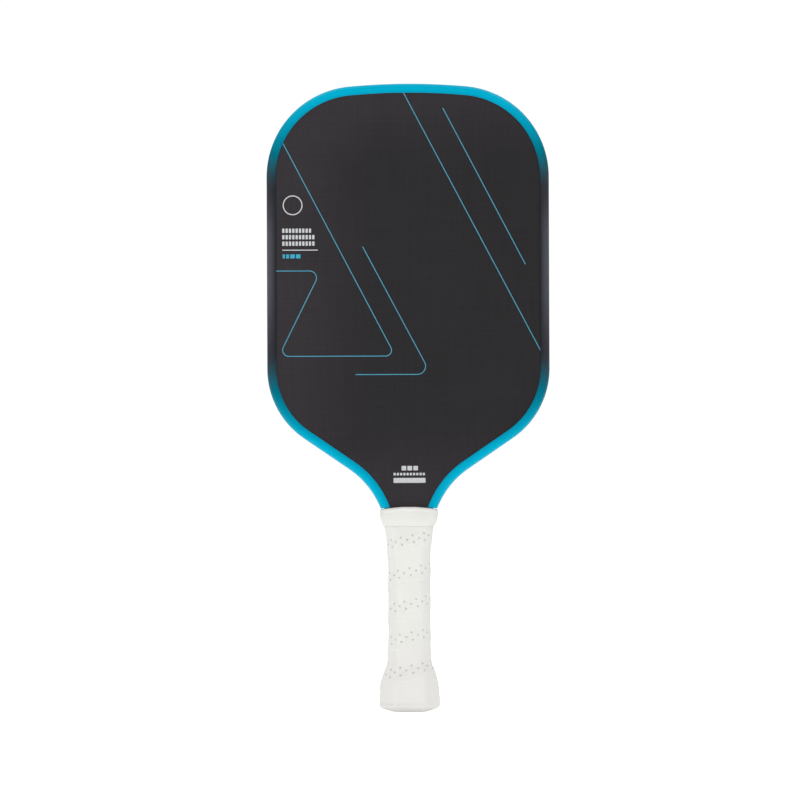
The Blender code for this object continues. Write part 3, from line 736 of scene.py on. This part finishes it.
def build_grip(surface):
    """The perforated tape as one wound ribbon, trimmed level at both ends."""
    bm = bmesh.new()
    bm.verts.layers.float.new("hole")
    columns = tape_columns()
    table = EDGE_ROWS + LOW_ROWS + HOLE_ROWS + HIGH_ROWS
    width = WIND_PITCH + WIND_OVERLAP
    for step in range(UNDERSIDE_STEPS + 1):
        table += ((width * (1.0 - step / UNDERSIDE_STEPS), TAPE_DEPTH),)
    rows = []
    for across, sink in table:
        rows.append([bm.verts.new(tape_point(turns, across, sink)) for turns in columns])
    first_hole_row = len(EDGE_ROWS + LOW_ROWS)
    for index, low in enumerate(rows):
        high = rows[(index + 1) % len(rows)]
        if first_hole_row <= index < first_hole_row + len(HOLE_ROWS) - 1:
            middle = (table[index][0] + table[index + 1][0]) / 2
            shift = COLUMNS_PER_HOLE // 2 if index == first_hole_row + 1 else 0
            add_hole_row(bm, low, high, middle, shift, columns)
        else:
            add_plain_cells(bm, low, high, range(len(columns) - 1))
    bm.faces.new([row[0] for row in rows])
    bm.faces.new([row[-1] for row in rows])
    for level, outward in ((FLANGE_TOP + TAPE_CLEARANCE, -1.0), (GRIP_END, 1.0)):
        geometry = bm.verts[:] + bm.edges[:] + bm.faces[:]
        trim(bm, geometry, (0.0, 0.0, level), (0.0, 0.0, outward))
    piece = new_piece("grip_tape_wound", bm, surface, ["cushion_grip"], sharp=50)
    return piece


def add_plain_cells(bm, low, high, columns):
    """One face for each column between two rows."""
    for column in columns:
        bm.faces.new((low[column], low[column + 1], high[column + 1], high[column]))


def add_hole_row(bm, low, high, across, shift, columns):
    """Cells with a round perforation in the middle of each, once the tape is above the butt."""
    count = (len(low) - 1 - shift) // COLUMNS_PER_HOLE
    for cell in range(count):
        first = shift + cell * COLUMNS_PER_HOLE
        last = first + COLUMNS_PER_HOLE
        middle = columns[(first + last) // 2]
        if WIND_START + WIND_PITCH * middle + across < HOLES_FROM:
            add_plain_cells(bm, low, high, range(first, last))
            continue
        add_plain_cells(bm, low, high, (first, last - 1))
        border = low[first + 1 : last] + list(reversed(high[first + 1 : last]))
        add_hole(bm, border, middle, across)
    add_plain_cells(bm, low, high, range(shift))
    add_plain_cells(bm, low, high, range(shift + count * COLUMNS_PER_HOLE, len(low) - 1))


def add_hole(bm, border, turns, across):
    """Joins a cell's border to rings that go down into the perforation."""
    width = perimeter_of(tape_size(WIND_START + WIND_PITCH * turns + HOLE_BAND), GRIP_ROUND)
    rings = []
    layer = bm.verts.layers.float["hole"]
    for radius, sink in HOLE_RINGS:
        one = []
        for index in range(HOLE_CORNERS):
            angle = TURN * index / HOLE_CORNERS
            shift = HOLE_RADIUS * radius * math.cos(angle) / width
            rise = HOLE_RADIUS * radius * math.sin(angle)
            one.append(bm.verts.new(tape_point(turns + shift, across + rise, sink)))
            # The hole value sets how much painted shade this ring gets.
            one[-1][layer] = min(1.0, sink / HOLE_SHADE_DEPTH)
        rings.append(one)
    for outer, inner in zip(rings, rings[1:]):
        for index in range(HOLE_CORNERS):
            following = (index + 1) % HOLE_CORNERS
            bm.faces.new((outer[index], outer[following], inner[following], inner[index]))
    bm.faces.new(rings[-1])
    edges = []
    for loop in (border, rings[0]):
        for first, second in zip(loop, loop[1:] + loop[:1]):
            edges.append(bm.edges.get((first, second)) or bm.edges.new((first, second)))
    bmesh.ops.triangle_fill(bm, use_beauty=True, edges=edges)


def collar_size(z):
    """Half sizes and corner cut of the outside of the collar."""
    share = min(1.0, (z - COLLAR_LOW) / (COLLAR_WIDEST - COLLAR_LOW))
    widening = 1.0 - (1.0 - share) ** COLLAR_WIDTH_CURVE
    half_x = COLLAR_LOW_X + (COLLAR_WIDE_X - COLLAR_LOW_X) * widening
    if z > COLLAR_WIDEST:
        share = (z - COLLAR_WIDEST) / (COLLAR_RIM - COLLAR_WIDEST)
        half_x = COLLAR_WIDE_X + (COLLAR_RIM_X - COLLAR_WIDE_X) * share
    share = (z - COLLAR_LOW) / (COLLAR_RIM - COLLAR_LOW)
    half_y = COLLAR_LOW_Y + (COLLAR_RIM_Y - COLLAR_LOW_Y) * share**COLLAR_DEPTH_CURVE
    return half_x, half_y, COLLAR_LOW_CUT + (COLLAR_RIM_CUT - COLLAR_LOW_CUT) * share


def build_collar(surface):
    """Stretched rubber ring with a soft lower lip and a round bead along its arched rim."""
    rings = []
    bead_low = COLLAR_RIM - BEAD_FOOT
    for step in range(COLLAR_STEPS + 1):
        z = COLLAR_LOW + (bead_low - COLLAR_LOW) * step / COLLAR_STEPS
        arch = COLLAR_ARCH * max(0.0, (z - COLLAR_ARCH_START) / (COLLAR_RIM - COLLAR_ARCH_START))
        film = (grip_half_x(GRIP_STEP) + LIP_FILM, *grip_size(z, LIP_FILM)[1:])
        size = []
        for thin, full, reach in zip(film, collar_size(z), LIP_REACHES):
            feather = math.exp((COLLAR_LOW - z) / reach)
            size.append(thin * feather + full * (1.0 - feather))
        rings.append(ring(size, COLLAR_ROUND, z, arch))
    for step in range(BEAD_STEPS + 1):
        angle = math.pi * step / BEAD_STEPS
        z = COLLAR_RIM - BEAD_RADIUS - BEAD_RADIUS * math.cos(angle)
        bulge = BEAD_BULGE * math.sin(angle) - BEAD_TURN_IN * max(0.0, -math.cos(angle)) ** 2
        rings.append(ring(grown(*collar_size(z), bulge), BEAD_ROUND, z, COLLAR_ARCH))
    width = half_width_at(BLANK_EDGE, COLLAR_RIM)
    for side, face, cut, rounding, drop in COLLAR_MOUTH:
        size = (width + side, SHEET_OUTER + face, cut)
        rings.append(ring(size, rounding, COLLAR_RIM - drop, COLLAR_ARCH))
    for z in COLLAR_THROAT:
        rings.append(ring(handle_size(z, GAP), THROAT_ROUND, z))
    for z, clearance in COLLAR_INSIDE:
        rings.append(ring(grip_size(z, clearance), COLLAR_INSIDE_ROUND, z))
    return new_piece("collar_fine", loft(rings, True), surface, ["grip_collar"])


def build_cap(surface):
    """Butt cap: seat for the badge, domed end, flange under the tape, and the hidden cup."""
    seat = BADGE_RADIUS + GAP
    rings = [
        round_ring(seat, BADGE_RECESS),
        round_ring(seat, BADGE_SEAT_BEVEL),
        round_ring(seat + BADGE_SEAT_BEVEL, 0.0),
    ]
    for step in range(FLANGE_STEPS + 1):
        share = step / FLANGE_STEPS
        z = FLANGE_TOP * share
        inset = FLANGE_SPREAD * (1.0 - share) ** FLANGE_CURVE
        rings.append(ring(grip_size(z, -inset), FLANGE_ROUND, z))
    wall = -(GRIP_THICKNESS + GAP)
    for z in (FLANGE_TOP, *FLARE_HEIGHTS, CAP_TOP):
        rings.append(ring(grip_size(z, wall), WALL_ROUND, z))
    for z in (CAP_TOP, POCKET_FLOOR):
        rings.append(ring(handle_size(z, GAP), POCKET_ROUND, z))
    return new_piece("butt_cap_fine", loft(rings), surface, ["butt_cap"])


def build_badge(surface):
    """Blank badge: a flat disc with a bevelled edge and one plain ring pressed into it."""
    rings = []
    for inset, z in BADGE_PROFILE:
        one = []
        for index in range(BADGE_CORNERS):
            angle = TURN * index / BADGE_CORNERS
            one.append((*polar((0.0, 0.0), BADGE_RADIUS - inset, angle), z))
        rings.append(one)
    bm = loft(rings)
    return new_piece("butt_badge_fine", bm, surface, ["butt_badge"], sharp=30)


# ---------------------------------------------------------------- print


INK_LOW, INK_HIGH = SHEET_OUTER + 0.012, SHEET_OUTER + 0.07
STRIPE_WIDTH = 0.6
BLOCK_ROUND = 0.3
BEND_STEPS, BLOCK_CORNER_STEPS, RING_MARK_CORNERS = 16, 4, 64

# The four pinstripes, as corners (x, z, radius). Ends given beyond the guard's lip run on under it.
STRIPES = (
    (
        (-85.2, 383.3, 0.0),
        (-8.7, 237.3, 3.9),
        (-86.4, 237.3, 4.2),
        (-58.2, 294.2, 4.7),
        (-90.4, 294.2, 0.0),
    ),
    ((-30.2, 310.2, 0.0), (15.1, 225.0, 5.5), (-35.2, 225.0, 0.0)),
    ((-3.6, 414.6, 0.0), (89.2, 238.6, 0.0)),
    ((23.5, 402.6, 0.0), (78.2, 298.2, 0.0)),
)

# Plain stand-ins for the printed marks: a ring, a rule, a bar and rows of blocks. A ring is
# (centre x, centre z, radius, width), a block is (left, low, right, high, rounding) and a row is
# (left, low, height, widths, gap).
RING_MARK = (-76.8, 338.0, 6.6, 0.7)
PALE_BLOCKS = ((-83.8, 307.8, -60.1, 308.4, 0.15), (-10.2, 152.7, 11.1, 156.0, 0.35))
PALE_ROWS = (
    (-83.8, 319.6, 2.9, (1.5,) * 9, 0.72),
    (-83.8, 315.3, 2.9, (1.5,) * 10, 0.72),
    (-83.8, 311.0, 2.9, (1.5,) * 10, 0.72),
    (-4.8, 161.0, 3.0, (3.1,) * 3, 0.8),
    (-10.2, 157.7, 1.7, (1.5,) * 10, 0.66),
)
BLUE_ROWS = ((-83.6, 302.6, 2.7, (1.6, 1.9, 3.0, 3.0), 0.8),)


def rounded_path(corners):
    """A path through corners given as (x, z, radius), with each corner rounded."""
    path = [Vector(corners[0][:2])]
    for before, here, after in zip(corners, corners[1:], corners[2:]):
        corner = Vector(here[:2])
        incoming = (corner - Vector(before[:2])).normalized()
        outgoing = (Vector(after[:2]) - corner).normalized()
        turn = incoming.angle_signed(outgoing)
        reach = here[2] * math.tan(abs(turn) / 2)
        start = corner - incoming * reach
        side = math.copysign(1.0, incoming.cross(outgoing))
        centre = start + Vector((-incoming.y, incoming.x)) * here[2] * side
        spoke = start - centre
        for step in range(BEND_STEPS + 1):
            angle = abs(turn) * step / BEND_STEPS * side
            path.append(centre + Matrix.Rotation(angle, 2) @ spoke)
    path.append(Vector(corners[-1][:2]))
    return path


def add_ribbon(bm, path, width):
    """A flat printed line of one width along a path, as a thin closed slab."""
    left, right = [], []
    for index, point in enumerate(path):
        before = path[max(index - 1, 0)]
        after = path[min(index + 1, len(path) - 1)]
        along = (after - before).normalized()
        side = Vector((-along.y, along.x)) * width / 2
        left.append(point + side)
        right.append(point - side)
    outline = left + list(reversed(right))
    add_slab(bm, outline, len(left))


def add_slab(bm, outline, strip=0):
    """A thin slab in front of the face. A strip count means that the outline is a ribbon."""
    front = [bm.verts.new((x, -INK_HIGH, z)) for x, z in outline]
    back = [bm.verts.new((x, -INK_LOW, z)) for x, z in outline]
    count = len(outline)
    for index in range(count):
        following = (index + 1) % count
        bm.faces.new((front[index], front[following], back[following], back[index]))
    if not strip:
        bm.faces.new(front)
        bm.faces.new(list(reversed(back)))
        return
    for index in range(strip - 1):
        other, beyond = count - 1 - index, count - 2 - index
        bm.faces.new((front[index], front[index + 1], front[beyond], front[other]))
        bm.faces.new((back[other], back[beyond], back[index + 1], back[index]))


def add_block(bm, left, low, right, high, rounding):
    """A plain printed block with rounded corners."""
    outline = []
    centres = (
        (right - rounding, high - rounding),
        (left + rounding, high - rounding),
        (left + rounding, low + rounding),
        (right - rounding, low + rounding),
    )
    for corner, centre in enumerate(centres):
        for step in range(BLOCK_CORNER_STEPS + 1):
            angle = QUARTER_TURN * (corner + step / BLOCK_CORNER_STEPS)
            outline.append(polar(centre, rounding, angle))
    add_slab(bm, outline)


def add_ring_mark(bm, centre_x, centre_z, radius, width):
    """A plain printed ring."""
    hole = radius - width
    loops = []
    for reach, y in ((radius, INK_HIGH), (radius, INK_LOW), (hole, INK_LOW), (hole, INK_HIGH)):
        one = []
        for index in range(RING_MARK_CORNERS):
            x, z = polar((centre_x, centre_z), reach, TURN * index / RING_MARK_CORNERS)
            one.append(bm.verts.new((x, -y, z)))
        loops.append(one)
    for outer, inner in zip(loops, loops[1:] + loops[:1]):
        for index in range(RING_MARK_CORNERS):
            following = (index + 1) % RING_MARK_CORNERS
            bm.faces.new((outer[index], outer[following], inner[following], inner[index]))


def build_stripes():
    """All four pinstripes."""
    bm = bmesh.new()
    for corners in STRIPES:
        add_ribbon(bm, rounded_path(corners), STRIPE_WIDTH)
    return bm


def add_row(bm, left, low, height, widths, gap):
    """A row of plain blocks."""
    for width in widths:
        add_block(bm, left, low, left + width, low + height, BLOCK_ROUND)
        left += width + gap


def build_pale_marks():
    """The ring, the rule, the bar and the pale rows of blocks."""
    bm = bmesh.new()
    add_ring_mark(bm, *RING_MARK)
    for block in PALE_BLOCKS:
        add_block(bm, *block)
    for row in PALE_ROWS:
        add_row(bm, *row)
    return bm


def build_blue_marks():
    """The short blue row of blocks."""
    bm = bmesh.new()
    for row in BLUE_ROWS:
        add_row(bm, *row)
    return bm


def build_print():
    """The same print on both faces. Seen from behind, the back reads as the front does."""
    blue = ink_surface("ink_blue", linear(52, 138, 164), linear(68, 152, 178))
    bright = ink_surface("ink_bright_blue", linear(26, 152, 184), linear(36, 166, 198))
    pale = ink_surface("ink_pale", linear(186, 188, 190), linear(206, 208, 210))
    half_turn = Matrix.Rotation(math.pi, 3, "Z")
    for name, build, ink in (
        ("stripes", build_stripes, blue),
        ("pale_marks", build_pale_marks, pale),
        ("blue_marks", build_blue_marks, bright),
    ):
        new_piece("front_" + name, build(), ink)
        turned = build()
        bmesh.ops.rotate(turned, verts=turned.verts, cent=(0.0, 0.0, 0.0), matrix=half_turn)
        new_piece("back_" + name, turned, ink)


# Finishes of the solids inside: two colours that each is mottled with, roughness, grains in a
# millimetre, metallic value and depth of the grain.
INNER_FINISHES = {
    "film_resin": ((186, 168, 112), (206, 190, 140), 0.3, 0.4, 0.0, 0.05),
    "core_polymer": ((220, 222, 220), (238, 239, 238), 0.42, 0.3, 0.0, 0.05),
    "edge_foam_cells": ((214, 206, 180), (238, 232, 212), 0.9, 1.6, 0.0, 0.3),
    "tongue_foam_cells": ((196, 178, 140), (222, 206, 172), 0.85, 1.8, 0.0, 0.3),
    "tape_scrim": ((222, 222, 214), (240, 240, 234), 0.7, 2.4, 0.0, 0.05),
    "pallet_foam_skin": ((52, 52, 54), (70, 70, 72), 0.8, 1.2, 0.0, 0.2),
    "staple_wire": ((176, 176, 178), (206, 206, 208), 0.3, 3.0, 1.0, 0.05),
    "finish_vinyl": ((22, 22, 23), (34, 34, 36), 0.4, 1.0, 0.0, 0.05),
}

# The finish of each solid that stays.
NODE_FINISHES = {
    "front_face_sheet": "carbon_peel_ply",
    "back_face_sheet": "carbon_peel_ply",
    "front_adhesive_film": "film_resin",
    "back_adhesive_film": "film_resin",
    "honeycomb_core": "core_polymer",
    "perimeter_foam": "edge_foam_cells",
    "tongue_core": "tongue_foam_cells",
    "edge_guard_tape": "tape_scrim",
    "front_handle_pallet": "pallet_foam_skin",
    "back_handle_pallet": "pallet_foam_skin",
    "front_butt_staple": "staple_wire",
    "back_butt_staple": "staple_wire",
    "finishing_tape": "finish_vinyl",
}


def dress_solids():
    """Better materials for the solids that stay."""
    surfaces = {"carbon_peel_ply": carbon_surface()}
    for name, (low, high, roughness, scale, metallic, depth) in INNER_FINISHES.items():
        colours = (linear(*low), linear(*high))
        surfaces[name] = plain_surface(name, *colours, roughness, scale, metallic, depth)
    for name, finish in NODE_FINISHES.items():
        materials = nodes[name].data.materials
        materials.clear()
        materials.append(surfaces[finish])


# ---------------------------------------------------------------- stage, light and camera


FLOOR_RADIUS, FLOOR_DROP = 12.0, 0.0004
FLOOR_WASH, FLOOR_WASH_SEEN = 0.28, 0.75
TENT_DIM, TENT_SIDE, TENT_SEEN = 0.12, 0.72, 1.02
TENT_DIM_FROM, TENT_SIDE_FROM = 0.85, 0.25
VIEW_DISTANCE = 6.0
VIEW_WIDTH = 0.5340
VIEW_CENTRE_X, VIEW_CENTRE_Z = -0.0057, 0.20796
VIEW_ROLL = math.radians(0.217)
SENSOR_WIDTH = 36.0

# Soft lamps, as (name, place, width and height, power). All point at the middle of the paddle.
SOFTBOXES = (
    ("front_left", (-0.8, -1.6, 0.75), (1.0, 1.2), 11.4),
    ("front_right", (1.3, -1.8, 0.8), (1.2, 1.4), 10.0),
    ("back_left", (0.8, 1.2, 1.9), (1.2, 1.2), 12.5),
    ("back_right", (-0.8, 1.2, 1.9), (1.2, 1.2), 10.0),
)


def camera_share(tree, plain, seen):
    """Gives one value to the light and another to what the viewer sees."""
    path = tree.nodes.new("ShaderNodeLightPath")
    mix = tree.nodes.new("ShaderNodeMix")
    mix.data_type = "FLOAT"
    tree.links.new(path.outputs["Is Camera Ray"], mix.inputs[0])
    if isinstance(plain, bpy.types.NodeSocket):
        tree.links.new(plain, mix.inputs[2])
    else:
        mix.inputs[2].default_value = plain
    mix.inputs[3].default_value = seen
    return mix.outputs[0]


def build_floor():
    """A wide pale floor under the butt end, washed out to merge with the surroundings."""
    bm = bmesh.new()
    bmesh.ops.create_circle(bm, cap_ends=True, segments=96, radius=FLOOR_RADIUS)
    mesh = bpy.data.meshes.new("floor")
    bm.to_mesh(mesh)
    bm.free()
    surface = bpy.data.materials.new("floor_paper")
    surface.use_nodes = True
    shader = surface.node_tree.nodes["Principled BSDF"]
    shader.inputs["Base Color"].default_value = (0.8, 0.8, 0.8, 1.0)
    shader.inputs["Roughness"].default_value = 0.9
    shader.inputs["Specular IOR Level"].default_value = 0.0
    shader.inputs["Emission Color"].default_value = (1.0, 1.0, 1.0, 1.0)
    wash = camera_share(surface.node_tree, FLOOR_WASH, FLOOR_WASH_SEEN)
    surface.node_tree.links.new(wash, shader.inputs["Emission Strength"])
    mesh.materials.append(surface)
    floor = bpy.data.objects.new("floor", mesh)
    floor.location.z = -FLOOR_DROP
    bpy.context.scene.collection.objects.link(floor)


def build_world():
    """A light tent: soft even light, dimmer straight in front and behind, white to look at."""
    world = bpy.data.worlds.new("studio")
    world.use_nodes = True
    tree = world.node_tree
    background = tree.nodes["Background"]
    coordinates = tree.nodes.new("ShaderNodeTexCoord")
    split = tree.nodes.new("ShaderNodeSeparateXYZ")
    facing = tree.nodes.new("ShaderNodeMath")
    facing.operation = "ABSOLUTE"
    share = tree.nodes.new("ShaderNodeMapRange")
    share.interpolation_type = "SMOOTHSTEP"
    share.inputs["From Min"].default_value = TENT_DIM_FROM
    share.inputs["From Max"].default_value = TENT_SIDE_FROM
    share.inputs["To Min"].default_value = TENT_DIM
    share.inputs["To Max"].default_value = TENT_SIDE
    tree.links.new(coordinates.outputs["Generated"], split.inputs[0])
    tree.links.new(split.outputs["Y"], facing.inputs[0])
    tree.links.new(facing.outputs[0], share.inputs["Value"])
    strength = camera_share(tree, share.outputs["Result"], TENT_SEEN)
    tree.links.new(strength, background.inputs["Strength"])
    background.inputs["Color"].default_value = (1.0, 1.0, 1.0, 1.0)
    bpy.context.scene.world = world


def add_softbox(name, place, size, power):
    """A soft lamp turned towards the middle of the paddle."""
    lamp = bpy.data.lights.new(name, "AREA")
    lamp.shape = "RECTANGLE"
    lamp.size, lamp.size_y = size
    lamp.energy = power
    holder = bpy.data.objects.new(name, lamp)
    holder.location = place
    aim = Vector((0.0, 0.0, LENGTH * MM / 2)) - Vector(place)
    holder.rotation_euler = aim.to_track_quat("-Z", "Y").to_euler()
    bpy.context.scene.collection.objects.link(holder)


def build_light():
    """The light tent, soft lamps left and right of the front, and a higher pair behind."""
    build_world()
    for softbox in SOFTBOXES:
        add_softbox(*softbox)


def build_camera():
    """Level with the middle of the paddle, square to its front face."""
    data = bpy.data.cameras.new("camera")
    data.sensor_width = SENSOR_WIDTH
    data.lens = SENSOR_WIDTH * VIEW_DISTANCE / VIEW_WIDTH
    data.clip_start, data.clip_end = 0.01, 60.0
    camera = bpy.data.objects.new("camera", data)
    camera.location = (VIEW_CENTRE_X, -VIEW_DISTANCE, VIEW_CENTRE_Z)
    camera.rotation_euler = (math.pi / 2, VIEW_ROLL, 0.0)
    bpy.context.scene.collection.objects.link(camera)
    bpy.context.scene.camera = camera


def main():
    """Everything that is seen, in the order in which it is made."""
    build_camera()
    build_guard(guard_surface())
    build_grip(grip_surface())
    build_collar(collar_surface())
    build_cap(cap_surface())
    badge_low, badge_high = linear(214, 212, 208), linear(226, 224, 221)
    build_badge(plain_surface("badge_satin", badge_low, badge_high, 0.35, 1.5, 0.0, 0.05))
    build_print()
    dress_solids()
    build_floor()
    build_light()
    bpy.context.scene.view_settings.view_transform = "Standard"


main()
